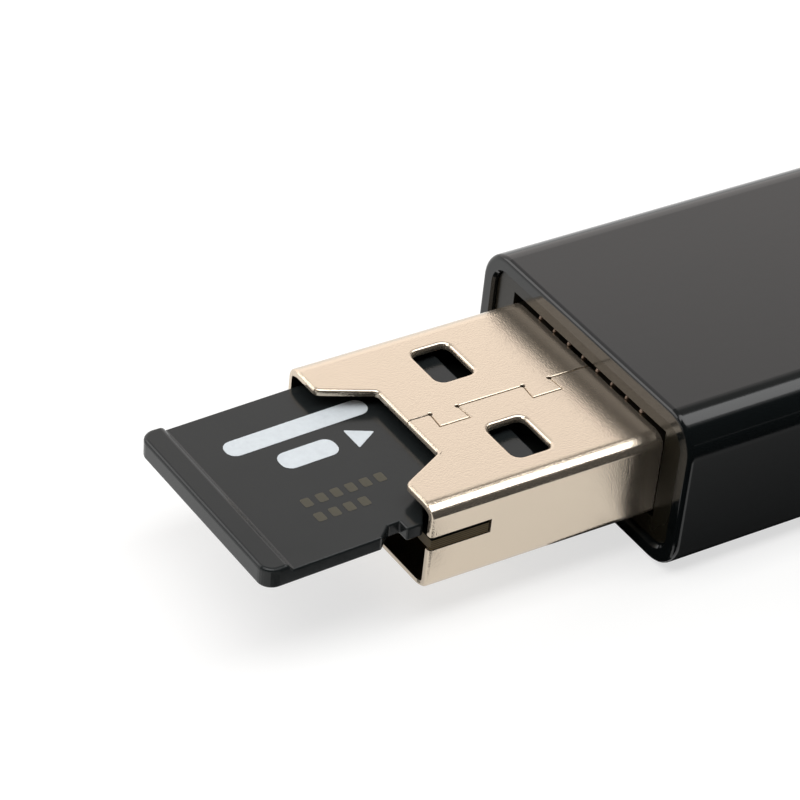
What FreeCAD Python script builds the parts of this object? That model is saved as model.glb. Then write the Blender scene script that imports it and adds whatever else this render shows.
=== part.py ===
# Plug end of a card reader cable, at real size, in millimetres.
#
# A folded sheet-metal plug shell stands out of a small moulded housing. The circuit board runs
# forward inside the shell as the plug's tongue: under it is the hollow for the computer's socket,
# and over it lies a slot for a small memory card, which is drawn half out.
#
# +X runs from the card's tail through the plug to the housing, +Z is up, and the origin lies on
# the base plane, under the middle of the whole.

import FreeCAD, Part
import math
import os

Vector = FreeCAD.Vector

# Memory card: outline, lip at its tail, the notch in the side that faces -Y, and its place in
# the slot, which rises towards the springs because they press the card's nose up
card_length = 15.0
card_width = 11.0
card_lead_width = 9.7
card_thickness = 0.7
card_lip_height = 0.3
card_lip_length = 1.7
card_lip_slope = 0.5
card_tail_radius = 0.7
card_lead_radius = 0.8
card_shoulder_setback = 6.2
card_shoulder_slope = 0.9
card_notch_setback = 7.9
card_notch_floor = 0.6
card_notch_depth = 0.6
card_notch_slope = 0.7
card_out = 8.0
card_seated_out = 0.3
card_nose_lift = 0.55

# Gold pads on the underside of the card
pad_count = 8
pad_pitch = 1.1
pad_width = 0.8
pad_length = 2.9
pad_setback = 0.6
pad_depth = 0.04

# Plug shell, folded from one sheet, with its seam on top
sheet_thickness = 0.3
shell_corner_radius = 0.65
plug_reach = 12.0
notch_depth = 2.5
notch_mouth_width = 7.5
notch_back_width = 5.0
notch_corner_radius = 0.3
notch_lip_radius = 0.25
window_setback = 5.4
window_length = 2.0
window_width = 2.5
window_spacing = 6.2
window_corner_radius = 0.4
window_edge_roll = 0.2
window_edge_break = 0.06
slit_length = 3.2
slit_play = 0.03
slit_headroom = 0.2
seam_gap = 0.04
seam_lead = 1.2
seam_tab_length = 1.45
seam_tab_flare = 0.08
seam_tab_depth = 0.95
seam_tab_pitch = 5.0
seam_tab_count = 2
leg_length = 1.6
leg_height = 2.0

# Heights inside the shell, from its floor to its roof
socket_gap = 2.0
board_thickness = 0.5
card_float = 0.05
card_headroom = 0.35
card_side_play = 0.2

# Circuit board
board_setback = 0.1
board_side_play = 0.1
ear_inset = 0.05
ear_play = 0.1
shoulder_gap = 0.2
leg_play = 0.06
board_edge_gap = 0.6
board_end_margin = 0.4
board_corner_radius = 0.4

# Four plug contacts under the board, the outer two longer
contact_width = 1.0
contact_thickness = 0.06
inner_contact_offset = 1.0
outer_contact_offset = 3.5
inner_contact_setback = 2.3
outer_contact_setback = 1.3
contact_end = 8.9

# Spring contacts for the card, in a moulded block that carries the board and stops the card
spring_width = 0.5
spring_thickness = 0.1
spring_tip_reach = 2.5
spring_crown_reach = 2.0
spring_dip_reach = 0.5
spring_root_inset = 0.1
spring_dip = 0.22
spring_tip_drop = 0.15
spring_gap = 0.03
spring_tail = 1.5
channel_play = 0.06
channel_depth = 0.4
block_front_margin = 0.6
block_side_margin = 0.5
block_play = 0.05
block_flange = 0.4
card_stop_play = 0.1
card_stop_thickness = 0.6
shell_end_margin = 0.9

# Controller chip and its leads
chip_length = 4.9
chip_width = 3.9
chip_height = 1.4
chip_standoff = 0.1
chip_corner_chamfer = 0.2
lead_count = 8
lead_pitch = 0.6
lead_width = 0.25
lead_thickness = 0.15
lead_span = 6.0
lead_foot = 0.5
lead_shoulder = 0.35

# Small parts on the board behind the chip
part_gap = 0.5
crystal_length = 3.2
crystal_width = 2.5
crystal_height = 0.8
crystal_corner_radius = 0.4
chip_part_length = 1.6
chip_part_width = 0.8
capacitor_height = 0.8
resistor_height = 0.45
resistor_count = 4
wire_pad_count = 5
wire_pad_pitch = 2.2
wire_pad_width = 1.2
wire_pad_length = 2.5
wire_pad_thickness = 0.05

# Front frame, pressed into the housing round the root of the shell
frame_side_wall = 1.4
frame_cover = 1.05
frame_fit = 0.03
frame_side_play = 0.05
frame_recess = 0.3
crush_rib_count = 8
crush_rib_pitch = 1.15
crush_rib_width = 0.25
crush_rib_height = 0.3
crush_rib_inset = 0.3

# Housing sleeve, closed at the back round the cable's inlet
housing_wall = 0.85
housing_corner_radius = 1.8
housing_front_edge = 0.25
housing_rim_edge = 0.12
housing_back_edge = 1.2
housing_back_wall = 1.6
rail_height = 0.9
rail_reach = 1.0
rail_front_gap = 0.3
board_stop_play = 0.1
board_stop_height = 0.5
wire_room = 5.8
collar_length = 4.0
collar_wall = 1.1
inlet_radius = 1.9

# Worked-out sizes
shell_width = card_width + 2 * (card_side_play + sheet_thickness)
card_room = card_float + card_thickness + card_lip_height + card_headroom
shell_height = socket_gap + board_thickness + card_room + 2 * sheet_thickness
frame_width = shell_width + 2 * frame_side_wall
frame_height = shell_height + 2 * frame_cover
housing_width = frame_width + 2 * housing_wall
housing_height = frame_height + 2 * housing_wall
card_seat_depth = card_length - card_seated_out
block_back = card_seat_depth + card_stop_play + card_stop_thickness
shell_length = block_back + spring_tail + shell_end_margin
board_tail_length = (
    leg_length + leg_play + part_gap
    + chip_length + part_gap
    + crystal_length + part_gap
    + wire_pad_length + board_end_margin
)
housing_back_reach = shell_length + shoulder_gap + board_tail_length + wire_room + collar_length
card_tilt = math.atan(card_nose_lift / card_seat_depth)
card_reach = card_out * math.cos(card_tilt) + (card_thickness + card_lip_height) * math.sin(card_tilt)
overall_length = card_reach + housing_back_reach

# Places along X
mouth_x = card_reach - overall_length / 2
card_tail_x = mouth_x - card_out
card_nose_x = card_tail_x + card_length
rim_x = mouth_x + plug_reach
shell_end_x = mouth_x + shell_length
board_front_x = mouth_x + board_setback
shoulder_x = shell_end_x + shoulder_gap
board_end_x = shoulder_x + board_tail_length
housing_back_x = mouth_x + housing_back_reach
stop_face_x = mouth_x + card_seat_depth + card_stop_play
block_back_x = mouth_x + block_back
frame_face_x = rim_x + frame_recess
frame_back_x = shoulder_x
cavity_end_x = housing_back_x - housing_back_wall

# Places along Y and Z
plug_axis_z = housing_height / 2
shell_half = shell_width / 2
inner_half = shell_half - sheet_thickness
cavity_half = housing_width / 2 - housing_wall
shell_low_z = plug_axis_z - shell_height / 2
shell_high_z = plug_axis_z + shell_height / 2
board_low_z = shell_low_z + sheet_thickness + socket_gap
board_high_z = board_low_z + board_thickness
card_low_z = board_high_z + card_float
card_high_z = card_low_z + card_thickness
pads_y = (card_width - card_lead_width) / 2
pad_places = [pads_y + (i - (pad_count - 1) / 2) * pad_pitch for i in range(pad_count)]


def flat(z):
    """Plane of an outline seen from above."""
    return lambda u, v: Vector(u, v, z)


def across(x):
    """Plane of an outline seen along X."""
    return lambda u, v: Vector(x, u, v)


def along(y):
    """Plane of an outline seen along Y."""
    return lambda u, v: Vector(u, y, v)


def outline(corners, plane):
    """Closed wire through corners (u, v, radius), with an arc at each corner that has a radius."""
    count = len(corners)
    arcs = []
    for i, (u, v, radius) in enumerate(corners):
        corner = Vector(u, v, 0)
        back = (Vector(*corners[i - 1][:2], 0) - corner).normalize()
        ahead = (Vector(*corners[(i + 1) % count][:2], 0) - corner).normalize()
        half_angle = back.getAngle(ahead) / 2
        middle = (back + ahead).normalize() if radius else Vector()
        reach = radius / math.tan(half_angle)
        bulge = radius / math.sin(half_angle) - radius
        arcs.append((corner + back * reach, corner + middle * bulge, corner + ahead * reach, radius))
    edges = []
    for i, (start, middle, end, radius) in enumerate(arcs):
        start, middle, end = [plane(p.x, p.y) for p in (start, middle, end)]
        if radius:
            edges.append(Part.Arc(start, middle, end).toShape())
        following = arcs[(i + 1) % count][0]
        following = plane(following.x, following.y)
        if end.distanceToPoint(following) > 1e-6:
            edges.append(Part.LineSegment(end, following).toShape())
    return Part.Wire(edges)


def prism(corners, plane, push):
    """Solid pushed out from an outline."""
    return Part.Face(outline(corners, plane)).extrude(push)


def rectangle(u0, u1, v0, v1, radius=0.0):
    """Corners of a rectangle, all with one radius."""
    return [(u0, v0, radius), (u1, v0, radius), (u1, v1, radius), (u0, v1, radius)]


def box(x0, x1, y0, y1, z0, z1):
    """Block between two opposite corners."""
    return Part.makeBox(x1 - x0, y1 - y0, z1 - z0, Vector(x0, y0, z0))


def bar(half_y, z0, z1, x0, x1, radius):
    """Bar along X with a rounded section."""
    return prism(rectangle(-half_y, half_y, z0, z1, radius), across(x0), Vector(x1 - x0, 0, 0))


def strip(path, thickness):
    """Corners of a bent strip of even thickness along a path of (u, v) points."""
    points = [Vector(u, v, 0) for u, v in path]
    runs = [(b - a).normalize() for a, b in zip(points, points[1:])]
    upper = []
    lower = []
    for i, point in enumerate(points):
        before = runs[max(i - 1, 0)]
        after = runs[min(i, len(runs) - 1)]
        lean = (before + after).normalize()
        normal = Vector(-lean.y, lean.x, 0)
        offset = normal * (thickness / 2 / lean.dot(before))
        upper.append(point + offset)
        lower.append(point - offset)
    return [(p.x, p.y, 0.0) for p in upper + lower[::-1]]


def edges_in_plane(shape, axis, place, keep=lambda edge: True):
    """Edges that lie wholly in the plane axis = place."""
    found = []
    for edge in shape.Edges:
        limits = edge.BoundBox
        low, high = getattr(limits, axis + "Min"), getattr(limits, axis + "Max")
        if abs(low - place) < 1e-4 and abs(high - place) < 1e-4 and keep(edge):
            found.append(edge)
    return found


def window_corners(side):
    """Corners of one latch window, on the side of the seam given by -1 or 1."""
    front = mouth_x + window_setback
    middle = side * window_spacing / 2
    return rectangle(front, front + window_length, middle - window_width / 2,
                     middle + window_width / 2, window_corner_radius)


def in_window(edge):
    """True for an edge on the rim of a latch window."""
    middle = edge.BoundBox.Center
    room = window_width / 2 + sheet_thickness
    lengthwise = middle.x - mouth_x - window_setback
    return (abs(abs(middle.y) - window_spacing / 2) < room
            and -sheet_thickness < lengthwise < window_length + sheet_thickness)


def at_notch_lip(edge):
    """True for the two upright edges where the notch meets the mouth."""
    limits = edge.BoundBox
    return limits.YLength < 1e-4 and abs(abs(limits.YMin) - notch_mouth_width / 2) < 1e-4


def seam_path():
    """Line of the seam: straight, with locking tabs that reach towards -Y."""
    path = [(mouth_x, 0.0)]
    start = mouth_x + notch_depth + seam_lead
    for i in range(seam_tab_count):
        near = start + i * seam_tab_pitch
        far = near + seam_tab_length
        path += [(near, 0.0), (near - seam_tab_flare, -seam_tab_depth)]
        path += [(far + seam_tab_flare, -seam_tab_depth), (far, 0.0)]
    path.append((shell_end_x + seam_gap, 0.0))
    return path


def plug_shell():
    """Folded shell with a notched mouth, latch windows, side slits, seam and solder legs."""
    inner_radius = max(shell_corner_radius - sheet_thickness, 0.05)
    shell = bar(shell_half, shell_low_z, shell_high_z, mouth_x, shell_end_x, shell_corner_radius)
    hollow = bar(inner_half, shell_low_z + sheet_thickness, shell_high_z - sheet_thickness,
                 mouth_x, shell_end_x, inner_radius)
    for side in (-1, 1):
        y0, y1 = sorted((side * inner_half, side * shell_half))
        leg_z0 = board_low_z + board_thickness / 2 - leg_height / 2
        leg = box(shell_end_x, shoulder_x + leg_length, y0, y1, leg_z0, leg_z0 + leg_height)
        shell = shell.fuse(leg)
    shell = shell.cut(hollow)

    through_roof = Vector(0, 0, 2 * sheet_thickness)
    roof = flat(shell_high_z - 1.5 * sheet_thickness)
    mouth_half = notch_mouth_width / 2
    back_half = notch_back_width / 2
    notch = [
        (mouth_x - sheet_thickness, -mouth_half, 0.0), (mouth_x, -mouth_half, 0.0),
        (mouth_x + notch_depth, -back_half, notch_corner_radius),
        (mouth_x + notch_depth, back_half, notch_corner_radius),
        (mouth_x, mouth_half, 0.0), (mouth_x - sheet_thickness, mouth_half, 0.0),
    ]
    shell = shell.cut(prism(notch, roof, through_roof))
    lips = edges_in_plane(shell, "X", mouth_x, at_notch_lip)
    shell = shell.makeFillet(notch_lip_radius, lips)
    shell = shell.cut(prism(strip(seam_path(), seam_gap), roof, through_roof))
    through_all = Vector(0, 0, shell_height + 2 * sheet_thickness)
    for side in (-1, 1):
        shell = shell.cut(prism(window_corners(side), flat(shell_low_z - sheet_thickness), through_all))
    slit = box(mouth_x - sheet_thickness, mouth_x + slit_length, -shell_width, shell_width,
               board_low_z - slit_play, board_high_z + slit_headroom)
    shell = shell.cut(slit)
    upper_rims = edges_in_plane(shell, "Z", shell_high_z, in_window)
    shell = shell.makeFillet(min(window_edge_roll, 0.8 * sheet_thickness), upper_rims)
    lower_rims = edges_in_plane(shell, "Z", shell_low_z, in_window)
    return shell.makeChamfer(min(window_edge_break, 0.8 * sheet_thickness), lower_rims)


def circuit_board():
    """Board with ears in the slits, a cut-out for the contact block and notches for the legs."""
    tongue_half = inner_half - board_side_play
    ear_half = shell_half - ear_inset
    ear_end_x = mouth_x + slit_length - ear_play
    tail_half = cavity_half - board_edge_gap
    near_side = [
        (board_front_x, -ear_half, 0.0), (ear_end_x, -ear_half, 0.0), (ear_end_x, -tongue_half, 0.0),
        (shoulder_x, -tongue_half, 0.0), (shoulder_x, -tail_half, board_corner_radius),
        (board_end_x, -tail_half, board_corner_radius),
    ]
    far_side = [(u, -v, radius) for u, v, radius in reversed(near_side)]
    board = prism(near_side + far_side, flat(board_low_z), Vector(0, 0, board_thickness))
    block_half = block_half_width() + block_play
    board = board.cut(box(block_front_x() - block_play, block_back_x + block_play,
                          pads_y - block_half, pads_y + block_half, board_low_z, board_high_z))
    for side in (-1, 1):
        y0, y1 = sorted((side * (inner_half - leg_play), side * (shell_half + leg_play)))
        board = board.cut(box(shoulder_x, shoulder_x + leg_length + leg_play, y0, y1,
                              board_low_z, board_high_z))
    return board


def plug_contacts():
    """Four flat contacts under the tongue, from -Y to +Y."""
    contacts = []
    for offset, setback in (
        (-outer_contact_offset, outer_contact_setback), (-inner_contact_offset, inner_contact_setback),
        (inner_contact_offset, inner_contact_setback), (outer_contact_offset, outer_contact_setback),
    ):
        corners = rectangle(mouth_x + setback, mouth_x + contact_end, offset - contact_width / 2,
                            offset + contact_width / 2, contact_width / 4)
        contacts.append(prism(corners, flat(board_low_z - contact_thickness),
                              Vector(0, 0, contact_thickness)))
    return contacts


def block_front_x():
    """Front of the contact block, ahead of the springs' tips."""
    return stop_face_x - spring_tip_reach - block_front_margin


def block_half_width():
    """Half the width of the contact block's body."""
    return (pad_count - 1) * pad_pitch / 2 + spring_width / 2 + block_side_margin


def spring_path():
    """Middle line of a spring contact, from its soldered tail to its tip."""
    tail_z = board_high_z + spring_thickness / 2
    crown_x = stop_face_x - spring_crown_reach
    card_under_z = card_low_z + (crown_x - mouth_x) * math.tan(card_tilt)
    crown_z = card_under_z - spring_gap - spring_thickness / 2
    return [
        (block_back_x + spring_tail, tail_z),
        (stop_face_x + spring_root_inset, tail_z),
        (stop_face_x - spring_dip_reach, board_high_z - spring_dip),
        (crown_x, crown_z),
        (stop_face_x - spring_tip_reach, crown_z - spring_tip_drop),
    ]


def card_spring(number):
    """One spring contact, bent from a strip."""
    side_y = pad_places[number] - spring_width / 2
    return prism(strip(spring_path(), spring_thickness), along(side_y), Vector(0, spring_width, 0))


def contact_block():
    """Moulded block: a foot under the board, spring channels in its cut-out and the card's stop."""
    half = block_half_width()
    front = block_front_x()
    block = box(front, block_back_x, pads_y - half, pads_y + half, board_low_z, board_high_z)
    full_half = inner_half - block_play
    foot = bar(full_half, shell_low_z + sheet_thickness, board_low_z, front - block_flange,
               block_back_x + block_flange, shell_corner_radius)
    stop = bar(full_half, board_high_z, shell_high_z - sheet_thickness - block_play,
               stop_face_x, block_back_x, shell_corner_radius)
    block = block.fuse([foot, stop]).removeSplitter()
    for place in pad_places:
        channel_half = spring_width / 2 + channel_play
        well = box(front + block_front_margin / 2, stop_face_x + spring_root_inset + spring_thickness,
                   place - channel_half, place + channel_half,
                   board_high_z - channel_depth, board_high_z + spring_thickness + channel_play)
        tunnel = box(stop_face_x, block_back_x, place - channel_half, place + channel_half,
                     board_high_z, board_high_z + spring_thickness + channel_play)
        block = block.cut([well, tunnel])
    return block


def in_slot(level_shape):
    """Tilts a piece of the card, drawn level, to the slope of its slot about the mouth's sill."""
    level_shape.rotate(Vector(mouth_x, 0, card_low_z), Vector(0, 1, 0), -math.degrees(card_tilt))
    return level_shape


def memory_card():
    """Card with its lip, side notch and pad recesses."""
    half = card_width / 2
    lead_edge = half - card_lead_width
    shoulder_x_card = card_nose_x - card_shoulder_setback
    notch_x = card_nose_x - card_notch_setback
    corners = [
        (card_tail_x, -half, card_tail_radius),
        (notch_x - card_notch_floor - card_notch_slope, -half, 0.0),
        (notch_x - card_notch_floor, -half + card_notch_depth, 0.0),
        (notch_x, -half + card_notch_depth, 0.0),
        (notch_x, -half, 0.0),
        (shoulder_x_card - card_shoulder_slope, -half, 0.0),
        (shoulder_x_card, lead_edge, 0.0),
        (card_nose_x, lead_edge, card_lead_radius),
        (card_nose_x, half, card_lead_radius),
        (card_tail_x, half, card_tail_radius),
    ]
    body = prism(corners, flat(card_low_z), Vector(0, 0, card_thickness))
    full = prism(corners, flat(card_low_z), Vector(0, 0, card_thickness + card_lip_height))
    lip_top = card_high_z + card_lip_height
    ridge_x = card_tail_x + card_lip_length
    section = [
        (card_tail_x, card_high_z, 0.0), (ridge_x, card_high_z, 0.0),
        (ridge_x - card_lip_slope, lip_top, 0.0), (card_tail_x, lip_top, 0.0),
    ]
    lip = prism(section, along(-half), Vector(0, card_width, 0)).common(full)
    return in_slot(body.fuse(lip).removeSplitter().cut(level_pads()))


def level_pads():
    """Gold pads let flush into the underside of the card, before it is tilted."""
    end = card_nose_x - pad_setback
    return [box(end - pad_length, end, place - pad_width / 2, place + pad_width / 2,
                card_low_z, card_low_z + pad_depth) for place in pad_places]


def card_pads():
    """The gold pads, in their places on the tilted card."""
    return in_slot(Part.makeCompound(level_pads()))


def chip_middle_x():
    """Middle of the controller chip."""
    return shoulder_x + leg_length + leg_play + part_gap + chip_length / 2


def row_middle_x():
    """Middle of the row of small parts behind the chip."""
    return chip_middle_x() + chip_length / 2 + part_gap + crystal_length / 2


def controller_chip():
    """Chip body with a chamfer along its top edges."""
    x = chip_middle_x()
    z0 = board_high_z + chip_standoff
    body = box(x - chip_length / 2, x + chip_length / 2, -chip_width / 2, chip_width / 2,
               z0, z0 + chip_height)
    return body.makeChamfer(chip_corner_chamfer, edges_in_plane(body, "Z", z0 + chip_height))


def chip_leads():
    """Two rows of gull-wing leads, soldered to the board."""
    foot_z = board_high_z + lead_thickness / 2
    root_z = board_high_z + chip_standoff + (chip_height - chip_corner_chamfer) / 2
    leads = []
    for side in (-1, 1):
        path = [
            (side * chip_width / 2, root_z),
            (side * (chip_width / 2 + lead_shoulder), root_z),
            (side * (lead_span / 2 - lead_foot), foot_z),
            (side * lead_span / 2, foot_z),
        ]
        for i in range(lead_count):
            x = chip_middle_x() + (i - (lead_count - 1) / 2) * lead_pitch
            push = Vector(lead_width, 0, 0)
            leads.append(prism(strip(path, lead_thickness), across(x - lead_width / 2), push))
    return Part.makeCompound(leads)


def crystal():
    """Flat metal can of the clock crystal."""
    x = row_middle_x()
    y = crystal_middle_y()
    corners = rectangle(x - crystal_length / 2, x + crystal_length / 2, y - crystal_width / 2,
                        y + crystal_width / 2, crystal_corner_radius)
    return prism(corners, flat(board_high_z), Vector(0, 0, crystal_height))


def crystal_middle_y():
    """The crystal lies beside the capacitor on the middle line."""
    return -(chip_part_width / 2 + part_gap + crystal_width / 2)


def chip_part(x, y, height):
    """One small block-shaped part, soldered flat on the board."""
    return box(x - chip_part_length / 2, x + chip_part_length / 2, y - chip_part_width / 2,
               y + chip_part_width / 2, board_high_z, board_high_z + height)


def capacitors():
    """Three capacitors beside the chip and two beside the crystal."""
    beside_chip = lead_span / 2 + part_gap + chip_part_width / 2
    beside_crystal = crystal_middle_y() - crystal_width / 2 - part_gap - chip_part_width / 2
    step = (chip_part_length + part_gap) / 2
    places = [
        (chip_middle_x() - step, beside_chip), (chip_middle_x() + step, beside_chip),
        (chip_middle_x(), -beside_chip), (row_middle_x(), 0.0), (row_middle_x(), beside_crystal),
    ]
    return [chip_part(x, y, capacitor_height) for x, y in places]


def resistors():
    """A row of resistors opposite the crystal."""
    lane = chip_part_width + part_gap
    return [chip_part(row_middle_x(), (i + 1) * lane, resistor_height) for i in range(resistor_count)]


def wire_pads():
    """Tinned pads at the back of the board, where the cable's wires are soldered."""
    end = board_end_x - board_end_margin
    pads = []
    for i in range(wire_pad_count):
        y = (i - (wire_pad_count - 1) / 2) * wire_pad_pitch
        pads.append(box(end - wire_pad_length, end, y - wire_pad_width / 2, y + wire_pad_width / 2,
                        board_high_z, board_high_z + wire_pad_thickness))
    return Part.makeCompound(pads)


def front_frame():
    """Frame round the root of the shell, with crush ribs over it. The board's shoulder stops at it."""
    half = cavity_half - frame_fit
    low = housing_wall + frame_fit
    high = housing_height - low
    frame = bar(half, low, high, frame_face_x, frame_back_x, housing_corner_radius - housing_wall)
    opening_half = shell_half + frame_side_play
    frame = frame.cut(box(frame_face_x, frame_back_x, -opening_half, opening_half,
                          shell_low_z, shell_high_z + crush_rib_height))
    ribs = []
    for i in range(crush_rib_count):
        y = (i - (crush_rib_count - 1) / 2) * crush_rib_pitch
        ribs.append(box(frame_face_x + crush_rib_inset, frame_back_x,
                        y - crush_rib_width / 2, y + crush_rib_width / 2,
                        shell_high_z, shell_high_z + crush_rib_height))
    return frame.fuse(ribs).removeSplitter()


def at_cavity_rim(edge):
    """True for an edge of the rim that borders the cavity."""
    limits = edge.BoundBox
    return max(-limits.YMin, limits.YMax) < cavity_half + 1e-4


def housing_sleeve():
    """Moulded sleeve with rails and stops for the board and a collar round the cable's inlet."""
    half = housing_width / 2
    sleeve = bar(half, 0.0, housing_height, rim_x, housing_back_x, housing_corner_radius)
    sleeve = sleeve.makeFillet(housing_front_edge, edges_in_plane(sleeve, "X", rim_x))
    back_radius = min(housing_back_edge, 0.9 * housing_corner_radius)
    sleeve = sleeve.makeFillet(back_radius, edges_in_plane(sleeve, "X", housing_back_x))
    cavity = bar(cavity_half, housing_wall, housing_height - housing_wall, rim_x, cavity_end_x,
                 housing_corner_radius - housing_wall)
    sleeve = sleeve.cut(cavity)
    rim = edges_in_plane(sleeve, "X", rim_x, at_cavity_rim)
    sleeve = sleeve.makeChamfer(housing_rim_edge, rim)
    for side in (-1, 1):
        y0, y1 = sorted((side * cavity_half, side * (cavity_half - rail_reach)))
        rail = box(frame_back_x + rail_front_gap, cavity_end_x, y0, y1,
                   board_low_z - rail_height, board_low_z)
        stop = box(board_end_x + board_stop_play, cavity_end_x, y0, y1,
                   board_low_z, board_high_z + board_stop_height)
        sleeve = sleeve.fuse([rail, stop])
    axis = Vector(1, 0, 0)
    collar_start = Vector(housing_back_x - collar_length, 0, plug_axis_z)
    collar = Part.makeCylinder(inlet_radius + collar_wall, collar_length - housing_back_wall,
                               collar_start, axis)
    inlet = Part.makeCylinder(inlet_radius, collar_length, collar_start, axis)
    return sleeve.fuse(collar).cut(inlet).removeSplitter()


def export(name, shape):
    """Write one piece and print what it holds."""
    shape.exportStep("parts/%s.step" % name)
    print("%-18s %d solid(s), %.3f mm3" % (name, len(shape.Solids), shape.Volume))


os.makedirs("parts", exist_ok=True)
export("plug_shell", plug_shell())
export("front_frame", front_frame())
export("housing_sleeve", housing_sleeve())
export("circuit_board", circuit_board())
for number, shape in enumerate(plug_contacts()):
    export("plug_contact_%d" % (number + 1), shape)
export("contact_block", contact_block())
for number in range(pad_count):
    export("card_spring_%d" % (number + 1), card_spring(number))
export("controller_chip", controller_chip())
export("chip_leads", chip_leads())
export("crystal", crystal())
for number, shape in enumerate(capacitors()):
    export("capacitor_%d" % (number + 1), shape)
for number, shape in enumerate(resistors()):
    export("resistor_%d" % (number + 1), shape)
export("wire_pads", wire_pads())
export("memory_card", memory_card())
export("card_pads", card_pads())
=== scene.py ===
# %% [markdown]
# # A card reader plug with a memory card half in
#
# The solids of this plug come from its drawing and stay where they are. In this lesson they get their
# looks: a camera, a white studio, finishes made of nodes, and a few pieces that are modelled again with
# the rolled edges, soft corners and small marks of the real ones.

# %% Load the solids
import math

import bmesh
import bpy
from mathutils import Matrix, Vector


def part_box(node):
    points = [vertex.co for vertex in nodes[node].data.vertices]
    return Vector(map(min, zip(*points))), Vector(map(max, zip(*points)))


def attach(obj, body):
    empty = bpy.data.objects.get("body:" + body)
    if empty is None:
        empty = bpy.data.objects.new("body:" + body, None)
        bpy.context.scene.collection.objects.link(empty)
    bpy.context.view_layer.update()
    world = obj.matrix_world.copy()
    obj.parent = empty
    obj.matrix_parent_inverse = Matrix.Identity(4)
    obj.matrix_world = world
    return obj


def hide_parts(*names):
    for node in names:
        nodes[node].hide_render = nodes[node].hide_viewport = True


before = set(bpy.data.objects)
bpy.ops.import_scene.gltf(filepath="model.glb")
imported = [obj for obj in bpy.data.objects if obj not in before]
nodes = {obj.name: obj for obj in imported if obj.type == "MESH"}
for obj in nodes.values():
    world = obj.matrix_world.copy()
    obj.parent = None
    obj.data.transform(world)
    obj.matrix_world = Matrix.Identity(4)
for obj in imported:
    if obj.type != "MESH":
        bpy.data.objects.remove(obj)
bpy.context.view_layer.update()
mm = 0.001

# %% [markdown]
# ## Camera
#
# The plug is seen from a little above the card's tail, through a long lens and with the camera slightly
# rolled. A camera can be aimed with a Track To constraint, but that gives no roll. So its three axes are
# worked out from azimuth, elevation and roll, and set as one matrix.

# %% Place the camera
camera_target = Vector((-12.062, 4.001, 4.15)) * mm
camera_distance = 170 * mm
camera_azimuth = math.radians(-36.34)
camera_elevation = math.radians(35.83)
camera_roll = math.radians(6.36)

level = math.cos(camera_elevation)
away = Vector((math.sin(camera_azimuth) * level, -math.cos(camera_azimuth) * level,
               math.sin(camera_elevation)))
sideways = Vector((math.cos(camera_azimuth), math.sin(camera_azimuth), 0))
upright = away.cross(sideways)
camera_x = sideways * math.cos(camera_roll) + upright * math.sin(camera_roll)
camera_y = upright * math.cos(camera_roll) - sideways * math.sin(camera_roll)
camera_axes = Matrix((camera_x, camera_y, away)).transposed().to_4x4()

camera_data = bpy.data.cameras.new("camera")
camera_data.lens = 167.67
camera_data.sensor_width = 36
camera_data.clip_start = 10 * mm
camera = bpy.data.objects.new("camera", camera_data)
bpy.context.scene.collection.objects.link(camera)
camera.matrix_world = Matrix.Translation(camera_target + away * camera_distance) @ camera_axes
bpy.context.scene.camera = camera
bpy.context.scene.view_settings.view_transform = "Standard"
print("camera at", [round(v, 4) for v in camera.location])

# %% [markdown]
# ## Studio
#
# Plating and glossy plastic show the room more than themselves, so the room comes first. It has a bright
# backdrop behind the plug, a dark gap above it, a soft light overhead, and a dark side in front. Walls
# would stand in the way of other views, so the room is painted on the world by the angle round the
# plug's long axis. On the ramp 0 is the horizon behind, 0.5 is straight up, and 1 the horizon in front.
# The backdrop gets dimmer towards its top. Both ends of the room, along that axis, fade to dark, and a
# low white skirting all round carries the floor's white past its edge.

# %% Paint the room on the world
def add_node(tree, kind, **settings):
    """Adds a node. A setting named after an input socket sets that socket, any other sets the node."""
    node = tree.nodes.new(kind)
    for name, value in settings.items():
        socket = node.inputs.get(name.replace("_", " ").title())
        if socket is None:
            setattr(node, name, value)
        else:
            socket.default_value = value
    return node


def paint_ramp(node, stops):
    """Puts (place, colour) stops on a Color Ramp node."""
    elements = node.color_ramp.elements
    while len(elements) < len(stops):
        elements.new(0.5)
    for element, (place, colour) in zip(elements, stops):
        element.position = place
        element.color = (*colour, 1)


backdrop = (1.46, 1.375, 1.335)
backdrop_top = (1.00, 0.945, 0.92)
gap = (0.30, 0.285, 0.27)
overhead = (1.0, 1.0, 1.0)
front = (0.02, 0.019, 0.018)
world = bpy.data.worlds.new("studio")
bpy.context.scene.world = world
world.use_nodes = True
tree = world.node_tree
direction = add_node(tree, "ShaderNodeTexCoord")
parts = add_node(tree, "ShaderNodeSeparateXYZ")
angle = add_node(tree, "ShaderNodeMath", operation="ARCTAN2")
share = add_node(tree, "ShaderNodeMath", operation="DIVIDE")
share.inputs[1].default_value = math.pi
room = add_node(tree, "ShaderNodeValToRGB")
paint_ramp(room, [
    (0.00, backdrop), (0.222, backdrop), (0.262, backdrop_top), (0.295, backdrop_top),
    (0.325, gap), (0.40, gap), (0.43, overhead), (0.61, overhead), (0.66, front), (1.00, front),
])
along = add_node(tree, "ShaderNodeMath", operation="ABSOLUTE")
ends = add_node(tree, "ShaderNodeMapRange", from_min=0.72, from_max=0.95, to_min=1.0, to_max=0.05)
skirting = add_node(tree, "ShaderNodeMapRange", from_min=0.12, from_max=0.14, to_min=1.0, to_max=0.0)
walls = add_node(tree, "ShaderNodeMix", data_type="RGBA")
walls.inputs["B"].default_value = (1, 1, 1, 1)
strength = add_node(tree, "ShaderNodeMath", operation="MAXIMUM")
background = tree.nodes["Background"]
tree.links.new(direction.outputs["Generated"], parts.inputs[0])
tree.links.new(parts.outputs["Z"], angle.inputs[0])
tree.links.new(parts.outputs["Y"], angle.inputs[1])
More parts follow.
